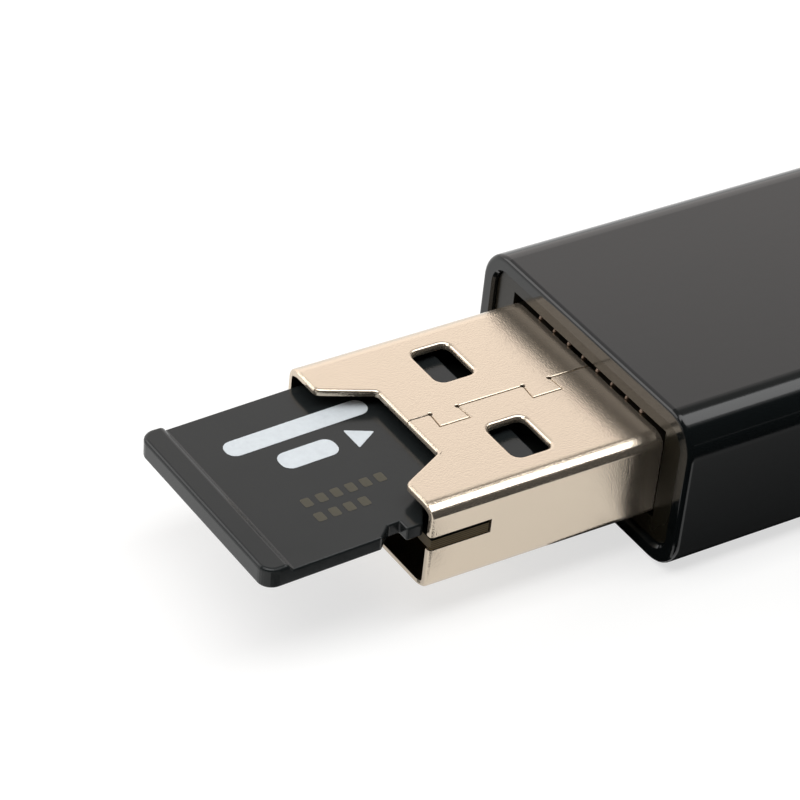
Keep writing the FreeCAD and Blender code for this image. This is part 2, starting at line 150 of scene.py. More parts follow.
tree.links.new(angle.outputs[0], share.inputs[0])
tree.links.new(share.outputs[0], room.inputs[0])
tree.links.new(parts.outputs["X"], along.inputs[0])
tree.links.new(along.outputs[0], ends.inputs["Value"])
tree.links.new(parts.outputs["Z"], skirting.inputs["Value"])
tree.links.new(skirting.outputs["Result"], walls.inputs["Factor"])
tree.links.new(room.outputs["Color"], walls.inputs["A"])
tree.links.new(walls.outputs["Result"], background.inputs["Color"])
tree.links.new(ends.outputs["Result"], strength.inputs[0])
tree.links.new(skirting.outputs["Result"], strength.inputs[1])
tree.links.new(strength.outputs[0], background.inputs["Strength"])
print("room painted with", len(room.color_ramp.elements), "stops")

# %% [markdown]
# The lamps are softboxes. The one overhead gives the folds their white line, and the one on the left
# gives the edges that face the card their cream line. An area lamp's brightness falls as it grows, so
# its power is worked out from how bright its face should look.

# %% Hang the softboxes
def hang_softbox(name, place, size, radiance):
    """Hangs a rectangular lamp at a place in metres, facing the plug, with a face of this brightness."""
    lamp_data = bpy.data.lights.new(name, "AREA")
    lamp_data.shape = "RECTANGLE"
    lamp_data.size, lamp_data.size_y = size
    lamp_data.energy = radiance * math.pi * size[0] * size[1]
    lamp = bpy.data.objects.new(name, lamp_data)
    bpy.context.scene.collection.objects.link(lamp)
    lamp.location = place
    lamp.rotation_euler = (-Vector(place)).to_track_quat("-Z", "Y").to_euler()
    lamp.visible_camera = False
    return lamp


softboxes = [
    hang_softbox("overhead_softbox", (0.0, -0.025, 0.32), (0.6, 0.18), 2.5),
    hang_softbox("left_softbox", (-0.30, 0.26, 0.20), (0.30, 0.24), 1.8),
]
print("watts:", [round(lamp.data.energy, 2) for lamp in softboxes])

# %% [markdown]
# The floor is a pale matt sheet. A sheet that takes all its white from the lamps would need too much
# light on the plug, so a little glow lifts it. The glow is there for the camera, for mirrors and for
# glass alike, and the floor keeps its shadow. Seen from below the sheet is clear, so that the plug's
# underside can be looked at.

# %% Lay the floor
floor_drop = 0.01
floor_grey = (0.36, 0.36, 0.355, 1)
floor_glow = 0.66
bpy.ops.object.select_all(action="DESELECT")
bpy.ops.mesh.primitive_plane_add(size=4, location=(0, 0, -floor_drop * mm))
floor = bpy.context.object
floor.name = "floor"
floor_paint = bpy.data.materials.new("floor_paint")
floor_paint.use_nodes = True
tree = floor_paint.node_tree
tree.nodes.remove(tree.nodes["Principled BSDF"])
matt = add_node(tree, "ShaderNodeBsdfDiffuse", color=floor_grey)
glow = add_node(tree, "ShaderNodeEmission", color=(1, 1, 1, 1))
both = add_node(tree, "ShaderNodeAddShader")
clear = add_node(tree, "ShaderNodeBsdfTransparent")
side = add_node(tree, "ShaderNodeNewGeometry")
either = add_node(tree, "ShaderNodeMixShader")
path = add_node(tree, "ShaderNodeLightPath")
camera_or_mirror = add_node(tree, "ShaderNodeMath", operation="ADD")
or_glass = add_node(tree, "ShaderNodeMath", operation="ADD", use_clamp=True)
lift = add_node(tree, "ShaderNodeMath", operation="MULTIPLY")
lift.inputs[1].default_value = floor_glow
tree.links.new(path.outputs["Is Camera Ray"], camera_or_mirror.inputs[0])
tree.links.new(path.outputs["Is Glossy Ray"], camera_or_mirror.inputs[1])
tree.links.new(camera_or_mirror.outputs[0], or_glass.inputs[0])
tree.links.new(path.outputs["Is Transmission Ray"], or_glass.inputs[1])
tree.links.new(or_glass.outputs[0], lift.inputs[0])
tree.links.new(lift.outputs[0], glow.inputs["Strength"])
tree.links.new(matt.outputs[0], both.inputs[0])
tree.links.new(glow.outputs[0], both.inputs[1])
tree.links.new(side.outputs["Backfacing"], either.inputs["Fac"])
tree.links.new(both.outputs[0], either.inputs[1])
tree.links.new(clear.outputs[0], either.inputs[2])
tree.links.new(either.outputs[0], tree.nodes["Material Output"].inputs["Surface"])
floor.data.materials.append(floor_paint)
print("floor laid with", len(tree.nodes), "nodes and a glow of", floor_glow)

# %% [markdown]
# Photographers place dark cards, called flags, beside glossy things to give them dark edges. Here only
# reflections show them, so they are painted dark reflections. A black one lies far in front and another
# stands at its far end, before the skirting. Small ones lie before the card's side and under the plug's
# root, and a grey one lies in front of the housing and gets darker towards it. The one under the root is
# painted shade under the plug, and the grey one's darkening is a painted shadow on the floor by the
# housing, both seen only in reflections. Their slanted ends keep them out of the plug's side. Two more
# stand on edge for the housing's rim and the frame. They are clear from behind, so that the plug's side
# doesn't show them.

# %% Place the flags
def place_flag(name, corners, shades, clear_behind=False):
    """Places a card with four corners in mm, counted round from the front, shaded from front to back."""
    bpy.ops.object.select_all(action="DESELECT")
    bpy.ops.mesh.primitive_plane_add(size=1, location=(0, 0, 0))
    flag = bpy.context.object
    flag.name = name
    for vertex, corner in zip((0, 1, 3, 2), corners):
        flag.data.vertices[vertex].co = Vector(corner) * mm
    paint = bpy.data.materials.new(name)
    paint.use_nodes = True
    tree = paint.node_tree
    tree.nodes.remove(tree.nodes["Principled BSDF"])
    place = add_node(tree, "ShaderNodeTexCoord")
    place_parts = add_node(tree, "ShaderNodeSeparateXYZ")
    shade = add_node(tree, "ShaderNodeMapRange", from_min=corners[0][1] * mm, from_max=corners[2][1] * mm,
                     to_min=shades[0], to_max=shades[1])
    matt = add_node(tree, "ShaderNodeBsdfDiffuse")
    clear = add_node(tree, "ShaderNodeBsdfTransparent")
    side = add_node(tree, "ShaderNodeNewGeometry")
    either = add_node(tree, "ShaderNodeMixShader")
    tree.links.new(place.outputs["Object"], place_parts.inputs[0])
    tree.links.new(place_parts.outputs["Y"], shade.inputs["Value"])
    tree.links.new(shade.outputs["Result"], matt.inputs["Color"])
    if clear_behind:
        tree.links.new(side.outputs["Backfacing"], either.inputs["Fac"])
    else:
        either.inputs["Fac"].default_value = 0
    tree.links.new(matt.outputs[0], either.inputs[1])
    tree.links.new(clear.outputs[0], either.inputs[2])
    tree.links.new(either.outputs[0], tree.nodes["Material Output"].inputs["Surface"])
    flag.data.materials.append(paint)
    flag.visible_camera = flag.visible_diffuse = flag.visible_shadow = flag.visible_transmission = False
    return flag


def lying(height, *outline):
    """Gives the corners of a flag that lies at a height, from its (x, y) outline."""
    return [(x, y, height) for x, y in outline]


def standing(x, front_y, back_y, foot=0.05, top=20):
    """Gives the corners of a flag that stands on edge at one place along the plug."""
    return [(x, front_y, foot), (x, back_y, foot), (x, back_y, top), (x, front_y, top)]


flags = [
    place_flag("far_flag", lying(0.02, (-600, -900), (600, -900), (600, -20), (-600, -20)), (0.01, 0.01)),
    place_flag("front_flag", [(-900, -900, 0), (900, -900, 0), (900, -900, 140), (-900, -900, 140)],
               (0.02, 0.02)),
    # Painted shadow: the grey flag darkens towards the housing, as the floor's shadow there shows in its
    # side.
    place_flag("housing_flag", lying(0.03, (2.2, -20), (120, -20), (120, -7), (-5, -7)), (0.38, 0.07)),
    # Painted shade: the black flag under the root stands for the dark floor under the plug in reflections.
    place_flag("root_flag", lying(0.04, (-9, -6.3), (-4.9, -8.2), (-4.9, 8), (-9, 8)), (0.02, 0.02)),
    place_flag("card_flag", lying(0.04, (-28, -12.2), (-12.4, -12.2), (-13.9, -10.1), (-28, -10.1)),
               (0.03, 0.03)),
    place_flag("rim_flag", standing(-5.3, -30, -8.3), (0.03, 0.03), clear_behind=True),
    place_flag("frame_flag", standing(-7.2, -30, -7), (0.03, 0.03), clear_behind=True),
]
print("flags:", [(flag.name, [round(v) for v in flag.data.polygons[0].normal]) for flag in flags])

# %% [markdown]
# ## Finishes
#
# Every finish needs three things: a fine grain that roughens it, broad blotches that keep its colour
# from being even, and scratches along the way it is pushed. They could be painted as pictures, but noise
# in the object's own coordinates has the right size on every piece. So one node group makes all three.

# %% Make the grain group
def new_group(name, numbers_in, outputs):
    """Makes a shader node group with number inputs {name: default} and number outputs."""
    group = bpy.data.node_groups.new(name, "ShaderNodeTree")
    for label, default in numbers_in.items():
        socket = group.interface.new_socket(label, in_out="INPUT", socket_type="NodeSocketFloat")
        socket.default_value = default
    for label in outputs:
        group.interface.new_socket(label, in_out="OUTPUT", socket_type="NodeSocketFloat")
    return group, group.nodes.new("NodeGroupInput"), group.nodes.new("NodeGroupOutput")


grain, grain_in, grain_out = new_group(
    "surface_grain", {"Grain Size": 0.1 * mm, "Blotch Size": 3 * mm}, ("Grain", "Blotch", "Scratch"))
place = add_node(grain, "ShaderNodeTexCoord")
stretched = add_node(grain, "ShaderNodeMapping")
stretched.inputs["Scale"].default_value = (0.02, 1, 1)
grain.links.new(place.outputs["Object"], stretched.inputs["Vector"])
for size, result, detail, where in (
        ("Grain Size", "Grain", 2, place.outputs["Object"]),
        ("Blotch Size", "Blotch", 3, place.outputs["Object"]),
        ("Grain Size", "Scratch", 1, stretched.outputs["Vector"])):
    scale = add_node(grain, "ShaderNodeMath", operation="DIVIDE")
    scale.inputs[0].default_value = 1
    noise = add_node(grain, "ShaderNodeTexNoise", detail=detail)
    grain.links.new(grain_in.outputs[size], scale.inputs[1])
    grain.links.new(scale.outputs[0], noise.inputs["Scale"])
    grain.links.new(where, noise.inputs["Vector"])
    grain.links.new(noise.outputs["Fac"], grain_out.inputs[result])
print("group", grain.name, "with", len(grain.nodes), "nodes")

# %% [markdown]
# A maker function turns the group into a finish. The blotches drive the colour and the roughness, the
# scratches add to the roughness, and the grain is a bump. What is the same all over the surface, such as
# the index of refraction, is set on the shader itself. The plating's Metallic is a little under 1, which
# mixes in some matt light and softens its mirror image.

# %% Make the finishes
noise_low, noise_high = 0.3, 0.7


def make_finish(name, light, dark, rough, grain_size, blotch_size, bump,
                scratch=0.0, metallic=0.0, ior=1.45):
    """Makes a finish from two colours, a roughness range, sizes and bump height in mm."""
    material = bpy.data.materials.new(name)
    material.use_nodes = True
    tree = material.node_tree
    shader = tree.nodes["Principled BSDF"]
    shader.inputs["Metallic"].default_value = metallic
    shader.inputs["IOR"].default_value = ior
    effect = add_node(tree, "ShaderNodeGroup", node_tree=grain)
    effect.inputs["Grain Size"].default_value = grain_size * mm
    effect.inputs["Blotch Size"].default_value = blotch_size * mm
    colour = add_node(tree, "ShaderNodeMix", data_type="RGBA", label="colour")
    colour.inputs["A"].default_value = (*dark, 1)
    colour.inputs["B"].default_value = (*light, 1)
    drift = add_node(tree, "ShaderNodeMapRange", from_min=noise_low, from_max=noise_high,
                     to_min=rough[0], to_max=rough[1])
    worn = add_node(tree, "ShaderNodeMath", operation="MULTIPLY_ADD", label="worn")
    worn.inputs[1].default_value = scratch
    relief = add_node(tree, "ShaderNodeBump", distance=bump * mm)
    tree.links.new(effect.outputs["Blotch"], colour.inputs["Factor"])
    tree.links.new(effect.outputs["Blotch"], drift.inputs["Value"])
    tree.links.new(effect.outputs["Scratch"], worn.inputs[0])
    tree.links.new(drift.outputs["Result"], worn.inputs[2])
    tree.links.new(effect.outputs["Grain"], relief.inputs["Height"])
    tree.links.new(colour.outputs["Result"], shader.inputs["Base Color"])
    tree.links.new(worn.outputs[0], shader.inputs["Roughness"])
    tree.links.new(relief.outputs["Normal"], shader.inputs["Normal"])
    return material


nickel = make_finish("nickel_plating", (0.676, 0.576, 0.461), (0.637, 0.547, 0.436), (0.10, 0.15),
                     grain_size=0.07, blotch_size=2.5, bump=0.0088, scratch=0.05, metallic=0.87)
# Painted shade: a darker nickel for the shell's inside and its end in the housing, where little light
# reaches.
painted_shade_nickel = make_finish("painted_shade_nickel", (0.20, 0.17, 0.13), (0.16, 0.14, 0.10), (0.25, 0.35),
                            grain_size=0.1, blotch_size=2, bump=0.008, metallic=1)
gloss_black = make_finish("gloss_black", (0.005, 0.007, 0.0075), (0.004, 0.005, 0.0055), (0.07, 0.12),
                          grain_size=0.5, blotch_size=6, bump=0.001, scratch=0.03, ior=1.44)
frame_black = make_finish("frame_black", (0.016, 0.0135, 0.008), (0.011, 0.0095, 0.006), (0.22, 0.30),
                          grain_size=0.2, blotch_size=4, bump=0.002, ior=1.38)
card_black = make_finish("card_black", (0.015, 0.0175, 0.018), (0.012, 0.0145, 0.015), (0.13, 0.18),
                         grain_size=0.05, blotch_size=2, bump=0.0015, scratch=0.04, ior=1.36)
block_black = make_finish("block_black", (0.030, 0.030, 0.030), (0.020, 0.020, 0.020), (0.45, 0.60),
                          grain_size=0.08, blotch_size=1.5, bump=0.003)
chip_resin = make_finish("chip_resin", (0.035, 0.035, 0.040), (0.024, 0.024, 0.028), (0.55, 0.70),
                         grain_size=0.05, blotch_size=1, bump=0.004)
tinned = make_finish("tinned", (0.72, 0.72, 0.70), (0.58, 0.58, 0.57), (0.22, 0.38),
                     grain_size=0.08, blotch_size=0.6, bump=0.006, metallic=1)
can_steel = make_finish("can_steel", (0.72, 0.72, 0.72), (0.62, 0.62, 0.62), (0.20, 0.30),
                        grain_size=0.06, blotch_size=1, bump=0.002, scratch=0.1, metallic=1)
gold = make_finish("gold_plating", (0.86, 0.63, 0.28), (0.78, 0.55, 0.22), (0.15, 0.25),
                   grain_size=0.06, blotch_size=0.8, bump=0.002, scratch=0.1, metallic=1)
finishes = (nickel, painted_shade_nickel, gloss_black, frame_black, card_black, block_black, chip_resin, tinned,
            can_steel, gold)
print("finishes:", [finish.name for finish in finishes])

# %% [markdown]
# The board is laminated from glass cloth and resin, and its faces are coated with black solder mask. So
# its cut edges, which show in the plug's slits, are olive with fine layers, and its faces are black. One
# group tells edges from faces by the surface's direction, and draws the layers as waves along its
# thickness. The Wave texture makes 20 waves in a length of two pi at a scale of 1, so the layer's pitch is
# turned into a scale with that.

# %% Finish the board
wave_length = 2 * math.pi / 20
layers, layers_in, layers_out = new_group("board_layers", {"Layer": 0.11 * mm}, ("Edge", "Fibre"))
surface = add_node(layers, "ShaderNodeNewGeometry")
surface_parts = add_node(layers, "ShaderNodeSeparateXYZ")
steep = add_node(layers, "ShaderNodeMath", operation="ABSOLUTE")
is_edge = add_node(layers, "ShaderNodeMath", operation="LESS_THAN")
is_edge.inputs[1].default_value = 0.5
place = add_node(layers, "ShaderNodeTexCoord")
waves = add_node(layers, "ShaderNodeTexWave", bands_direction="Z", distortion=1.5, detail=2.0)
pace = add_node(layers, "ShaderNodeMath", operation="DIVIDE")
pace.inputs[0].default_value = wave_length
layers.links.new(surface.outputs["True Normal"], surface_parts.inputs[0])
layers.links.new(surface_parts.outputs["Z"], steep.inputs[0])
layers.links.new(steep.outputs[0], is_edge.inputs[0])
layers.links.new(layers_in.outputs["Layer"], pace.inputs[1])
layers.links.new(place.outputs["Object"], waves.inputs["Vector"])
layers.links.new(pace.outputs[0], waves.inputs["Scale"])
layers.links.new(is_edge.outputs[0], layers_out.inputs["Edge"])
layers.links.new(waves.outputs["Fac"], layers_out.inputs["Fibre"])

board = make_finish("board", (0.012, 0.013, 0.012), (0.008, 0.009, 0.008), (0.28, 0.36),
                    grain_size=0.06, blotch_size=1.5, bump=0.003, ior=1.2)
tree = board.node_tree
shader = tree.nodes["Principled BSDF"]
cut = add_node(tree, "ShaderNodeGroup", node_tree=layers)
resin = add_node(tree, "ShaderNodeMix", data_type="RGBA")
resin.inputs["A"].default_value = (0.035, 0.024, 0.009, 1)
resin.inputs["B"].default_value = (0.140, 0.098, 0.040, 1)
mask = next(node for node in tree.nodes if node.label == "colour")
paint = add_node(tree, "ShaderNodeMix", data_type="RGBA")
tree.links.new(cut.outputs["Fibre"], resin.inputs["Factor"])
tree.links.new(cut.outputs["Edge"], paint.inputs["Factor"])
tree.links.new(mask.outputs["Result"], paint.inputs["A"])
tree.links.new(resin.outputs["Result"], paint.inputs["B"])
tree.links.new(paint.outputs["Result"], shader.inputs["Base Color"])
print("board material with", len(tree.nodes), "nodes")

# %% [markdown]
# Chip capacitors and resistors are small blocks whose two ends are dipped in tin. A group finds the ends
# from the distance to the part's middle, so the body and its caps are one material. The middle differs
# from part to part, so each part gets a material of its own.

# %% Finish the chip parts
tin_colour = (0.68, 0.68, 0.66, 1)
cap_start = 0.28
caps, caps_in, caps_out = new_group(
    "end_caps", {"Middle X": 0, "Middle Y": 0, "Reach X": 1, "Reach Y": 1}, ("Cap",))
place = add_node(caps, "ShaderNodeTexCoord")
place_parts = add_node(caps, "ShaderNodeSeparateXYZ")
either = add_node(caps, "ShaderNodeMath", operation="MAXIMUM")
caps.links.new(place.outputs["Object"], place_parts.inputs[0])
for number, axis in enumerate("XY"):
    offset = add_node(caps, "ShaderNodeMath", operation="SUBTRACT")
    distance = add_node(caps, "ShaderNodeMath", operation="ABSOLUTE")
    beyond = add_node(caps, "ShaderNodeMath", operation="GREATER_THAN")
    caps.links.new(place_parts.outputs[axis], offset.inputs[0])
    caps.links.new(caps_in.outputs["Middle " + axis], offset.inputs[1])
    caps.links.new(offset.outputs[0], distance.inputs[0])
    caps.links.new(distance.outputs[0], beyond.inputs[0])
    caps.links.new(caps_in.outputs["Reach " + axis], beyond.inputs[1])
    caps.links.new(beyond.outputs[0], either.inputs[number])
caps.links.new(either.outputs[0], caps_out.inputs["Cap"])


def make_capped(name, light, dark):
    """Makes a finish for one chip part, with tin on the ends of its longer side."""
    low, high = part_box(name)
    material = make_finish(name + "_finish", light, dark, (0.35, 0.50),
                           grain_size=0.06, blotch_size=0.5, bump=0.003)
    tree = material.node_tree
    shader = tree.nodes["Principled BSDF"]
    ends = add_node(tree, "ShaderNodeGroup", node_tree=caps)
    axis = 0 if high.x - low.x > high.y - low.y else 1
    ends.inputs["Middle " + "XY"[axis]].default_value = (low[axis] + high[axis]) / 2
    ends.inputs["Reach " + "XY"[axis]].default_value = cap_start * (high[axis] - low[axis])
    body = next(node for node in tree.nodes if node.label == "colour")
    paint = add_node(tree, "ShaderNodeMix", data_type="RGBA")
    paint.inputs["B"].default_value = tin_colour
    tree.links.new(ends.outputs["Cap"], paint.inputs["Factor"])
    tree.links.new(body.outputs["Result"], paint.inputs["A"])
    tree.links.new(paint.outputs["Result"], shader.inputs["Base Color"])
    tree.links.new(ends.outputs["Cap"], shader.inputs["Metallic"])
    return material


print("group", caps.name, "with", len(caps.nodes), "nodes, tin from", cap_start, "of the length on")

# %% [markdown]
# Now every solid gets its finish. The plug's shell and the card are modelled again further on, but their
# solids are dressed as well, so that none is left bare.

# %% Dress the solids
def dress(material, *starts):
    """Gives a finish to the solids whose names start so."""
    for name, node in nodes.items():
        if name.startswith(starts):
            for slot in node.material_slots:
                slot.material = material
            if not node.material_slots:
                node.data.materials.append(material)
            dressed.add(name)


dressed = set()
dress(nickel, "plug_shell")
dress(card_black, "memory_card")
dress(gloss_black, "housing_sleeve")
dress(frame_black, "front_frame")
dress(board, "circuit_board")
dress(block_black, "contact_block")
dress(chip_resin, "controller_chip")
dress(tinned, "chip_leads", "wire_pads")
dress(can_steel, "crystal")
dress(gold, "plug_contact", "card_spring", "card_pads")
for name in sorted(nodes):
    if name.startswith("capacitor"):
        dress(make_capped(name, (0.50, 0.34, 0.19), (0.40, 0.26, 0.14)), name)
    if name.startswith("resistor"):
        dress(make_capped(name, (0.045, 0.045, 0.050), (0.030, 0.030, 0.034)), name)
print("dressed", len(dressed), "of", len(nodes), "solids")

# %% [markdown]
# ## Modelling tools
#
# The next helpers do what a modeller does by hand. The first ones add a block at its size and place, open
# it in edit mode and close it again. Lengths are in mm here, as on a drawing.

# %% Make the block tools
def add_block(name, low, high):
    """Adds a cube between two corners, with its place and size in its mesh."""
    low, high = Vector(low) * mm, Vector(high) * mm
    bpy.ops.object.select_all(action="DESELECT")
    bpy.ops.mesh.primitive_cube_add(size=1, location=(low + high) / 2, scale=high - low)
    bpy.ops.object.transform_apply(location=True, rotation=True, scale=True)
    bpy.context.object.name = name
    return bpy.context.object


def open_piece(piece):
    """Opens one piece in edit mode."""
    bpy.ops.object.select_all(action="DESELECT")
    piece.select_set(True)
    bpy.context.view_layer.objects.active = piece
    bpy.ops.object.mode_set(mode="EDIT")


def close_piece():
    """Goes back to object mode."""
    bpy.ops.object.mode_set(mode="OBJECT")


print("lengths are in mm, and one mm is", mm, "m")

# %% [markdown]
# In edit mode corners, edges or faces are picked by where they are and which way they run, and edges are
# rounded. A way counts as along an axis when that part of it is over `aligned`, and a point counts as at a
# place when it is closer than `near`, or than `exact` where edges lie side by side.

# %% Make the picking tools
aligned = 0.9
near, exact = 0.01, 0.001


def pick(kind, test, sharp=0):
    """Selects what passes test(middle, way) and says how many. The way is an edge's line or a normal."""
    bpy.ops.mesh.select_mode(type=kind)
    bpy.ops.mesh.select_all(action="DESELECT")
    mesh = bpy.context.edit_object.data
    shape = bmesh.from_edit_mesh(mesh)
    shape.normal_update()
    found = 0
    for item in {"VERT": shape.verts, "EDGE": shape.edges, "FACE": shape.faces}[kind]:
        if kind == "VERT":
            middle, way = item.co, item.normal
        elif kind == "EDGE":
            start, end = item.verts[0].co, item.verts[1].co
            middle, way = (start + end) / 2, (end - start).normalized()
            if sharp and item.calc_face_angle(0) < math.radians(sharp):
                continue
        else:
            middle, way = item.calc_center_median(), item.normal
        if test(middle / mm, way):
            item.select_set(True)
            found += 1
    bmesh.update_edit_mesh(mesh)
    return found


def round_off(width, steps):
    """Bevels the selected edges."""
    bpy.ops.mesh.bevel(offset=width * mm, segments=steps, affect="EDGES", clamp_overlap=False)


def add_modifier(piece, kind, **settings):
    """Adds a modifier and applies it."""
    modifier = piece.modifiers.new(kind.lower(), kind)
    for name, value in settings.items():
        setattr(modifier, name, value)
    bpy.context.view_layer.objects.active = piece
    bpy.ops.object.modifier_apply(modifier=modifier.name)


print("picking within", near, "or", exact, "mm")

# %% [markdown]
# ## Plug shell
#
# The shell is one strip of sheet metal folded round into a box, so its four long corners are round and
# its wall is equally thick everywhere. It could be two blocks, one cut out of the other, but the corners
# of the two would have to agree. A block with rounded corners and no ends, thickened inwards by a
# Solidify modifier, gets that by itself.
#
# A pressed fold isn't a quarter of a circle. It starts gently on the broad side and ends tightly on the
# narrow one, which makes its white line broad and its dark line thin. So each corner is first cut off on
# a slant, and the two edges of the cut are rounded with different radii that all but meet.

# %% Fold the sheet
sheet = 0.3
fold_radius = 0.65
broad_radius, narrow_radius, fold_turn = 1.05, 0.45, math.radians(34)
fold_share, fold_steps = 0.98, 6
shell_low, shell_high = [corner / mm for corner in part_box("plug_shell")]
leg_length = 1.8
mouth_x, shell_end_x = shell_low.x, shell_high.x - leg_length
shell_middle_z = (shell_low.z + shell_high.z) / 2
shell = add_block("folded_shell", shell_low, (shell_end_x, shell_high.y, shell_high.z))
broad_reach = broad_radius * math.tan(fold_turn / 2)
narrow_reach = narrow_radius * math.tan(math.pi / 4 - fold_turn / 2)
corner_drop = (broad_reach + narrow_reach) * math.sin(fold_turn)
corner_width = (broad_reach + narrow_reach) * math.cos(fold_turn)
open_piece(shell)
for side in (-1, 1):
    for top, height in ((-1, shell_low.z), (1, shell_high.z)):
        bpy.ops.mesh.select_all(action="SELECT")
        bpy.ops.mesh.bisect(
            plane_co=(0, side * (shell_high.y - corner_width) * mm, height * mm),
            plane_no=(0, side * math.sin(fold_turn), top * math.cos(fold_turn)),
            clear_outer=True, use_fill=True, threshold=1e-7)
pick("EDGE", lambda middle, way: abs(way.x) > aligned and abs(middle.y) < shell_high.y - near)
round_off(fold_share * broad_reach, fold_steps)
folds = pick("EDGE", lambda middle, way: (
    abs(way.x) > aligned and abs(middle.y) > shell_high.y - exact
    and min(middle.z - shell_low.z, shell_high.z - middle.z) > corner_drop / 2))
round_off(fold_share * narrow_reach, fold_steps)
pick("FACE", lambda middle, way: abs(way.x) > aligned)
bpy.ops.mesh.delete(type="FACE")
close_piece()
add_modifier(shell, "SOLIDIFY", thickness=sheet * mm, offset=-1, use_even_offset=True)
print(folds, "folds from", round(mouth_x, 2), "to", round(shell_end_x, 2), "mm,",
      len(shell.data.polygons), "faces")

# %% [markdown]
# Two legs run on from the side walls into the housing, where they are soldered to the board. They are
# drawn out of the wall's own end: two cuts across the shell part off the legs' ends, and these are
# extruded.

# %% Draw out the solder legs
def push(x=0, y=0, z=0):
    """Extrudes what is selected."""
    bpy.ops.mesh.extrude_region_move(TRANSFORM_OT_translate={"value": (x * mm, y * mm, z * mm)})


def slice_across(axis, place):
    """Cuts the piece at a place along axis 0, 1 or 2, and keeps both sides."""
    point, normal = Vector(), Vector()
    point[axis], normal[axis] = place * mm, 1
    bpy.ops.mesh.select_all(action="SELECT")
    bpy.ops.mesh.bisect(plane_co=point, plane_no=normal, threshold=1e-7)


leg_low_z, leg_high_z = 3.45, 5.45
wall_y = shell_high.y - sheet
open_piece(shell)
slice_across(2, leg_low_z)
slice_across(2, leg_high_z)
legs = pick("FACE", lambda middle, way: (way.x > aligned and abs(middle.y) > wall_y
                                         and leg_low_z < middle.z < leg_high_z))
push(x=leg_length)
close_piece()
print("legs:", legs)

# %% [markdown]
# A press punches the notch in the mouth, the four latch windows and the slits for the board's ears. Each
# punch is a block with its corners rounded, cut out with a Boolean modifier. The window punch goes
# through both walls, so two punches make four windows.

# %% Punch the notch, the windows and the slits
def cut_out(piece, cutter):
    """Cuts one shape out of a piece, and deletes the cutter."""
    add_modifier(piece, "BOOLEAN", operation="DIFFERENCE", solver="EXACT", object=cutter)
    bpy.data.objects.remove(cutter)


lead_in = 0.3
notch_depth, notch_mouth_half, notch_back_half = 2.5, 3.75, 2.5
notch_radius = 0.2
front_half = notch_mouth_half + lead_in * (notch_mouth_half - notch_back_half) / notch_depth
notch = add_block("notch_punch", (mouth_x - lead_in, -front_half, shell_high.z - 2 * sheet),
                  (mouth_x + notch_depth, front_half, shell_high.z + sheet))
open_piece(notch)
pick("VERT", lambda place, way: place.x > mouth_x)
bpy.ops.transform.resize(value=(1, notch_back_half / front_half, 1))
pick("EDGE", lambda middle, way: abs(way.z) > aligned and middle.x > mouth_x)
round_off(notch_radius, 5)
close_piece()
cut_out(shell, notch)

window_setback, window_length, window_radius = 5.4, 2.0, 0.4
window_front = mouth_x + window_setback
window_back = window_front + window_length
window_half, window_middle = 1.25, 3.1
window = add_block("window_punch", (window_front, -window_middle - window_half, shell_low.z - sheet),
                   (window_back, -window_middle + window_half, shell_high.z + sheet))
open_piece(window)
pick("EDGE", lambda middle, way: abs(way.z) > aligned)
round_off(window_radius, 6)
bpy.ops.mesh.select_all(action="SELECT")
bpy.ops.mesh.duplicate_move(TRANSFORM_OT_translate={"value": (0, 2 * window_middle * mm, 0)})
close_piece()
cut_out(shell, window)

slit_length, slit_low_z, slit_high_z = 3.2, 4.17, 4.90
punch_y = shell_high.y + 1
slits = add_block("slit_punch", (mouth_x - lead_in, -punch_y, slit_low_z),
                  (mouth_x + slit_length, punch_y, slit_high_z))
cut_out(shell, slits)
print("punched shell:", len(shell.data.polygons), "faces")

# %% [markdown]
# A punch draws the metal down as it goes through, so the outer edges of its holes are rolled over. They
# catch the light as cream lines. The Bevel tool rolls them, widest at the notch's two lips and the upper
# windows. The edges are found by how far they lie under the outer skin, which is nothing for an outer edge.

# %% Roll the punched edges
notch_lip_radius, window_roll, window_break, mouth_roll = 0.25, 0.2, 0.06, 0.15
skin = 0.1


def skin_depth(place):
    """Gives how far a point lies under the shell's outer skin."""
    across = abs(place.y) - (shell_high.y - fold_radius)
    upward = abs(place.z - shell_middle_z) - (shell_high.z - shell_middle_z - fold_radius)
    outside = math.hypot(max(across, 0), max(upward, 0))
    return fold_radius - outside - min(max(across, upward), 0)


def by_window(place):
    """Says whether a point of the outer skin is on a window's rim."""
    in_length = window_front - skin < place.x < window_back + skin
    in_width = abs(abs(place.y) - window_middle) < window_half + skin
    return in_length and in_width and skin_depth(place) < skin


def by_mouth(place):
    """Says whether a point of the outer skin is on the mouth's or the notch's edge."""
    on_front = abs(place.x - mouth_x) < near
    on_notch = place.x < mouth_x + notch_depth + skin / 2 and place.z > shell_high.z - skin
    return (on_front or on_notch) and skin_depth(place) < skin


open_piece(shell)
lips = pick("EDGE", lambda middle, way: (abs(way.z) > aligned and abs(middle.x - mouth_x) < near
                                         and abs(abs(middle.y) - notch_mouth_half) < skin / 2))
round_off(notch_lip_radius, 5)
upper_rims = pick("EDGE", lambda middle, way: by_window(middle) and middle.z > shell_middle_z, sharp=60)
round_off(window_roll, 5)
lower_rims = pick("EDGE", lambda middle, way: by_window(middle) and middle.z < shell_middle_z, sharp=60)
round_off(window_break, 2)
mouth_edges = pick("EDGE", lambda middle, way: by_mouth(middle), sharp=40)
round_off(mouth_roll, 4)
close_piece()
print("rolled:", lips, "lips,", upper_rims, "+", lower_rims, "window rims,", mouth_edges, "mouth edges")

# %% [markdown]
# The sheet's two ends meet on top in a seam, locked by two dovetail tabs. The seam's punch is a standing
# ribbon, extruded corner by corner along the seam and thickened to the width of the gap. Where the tabs
# begin, small relief holes keep the sheet from tearing. The gap's upper edges are rolled as well.

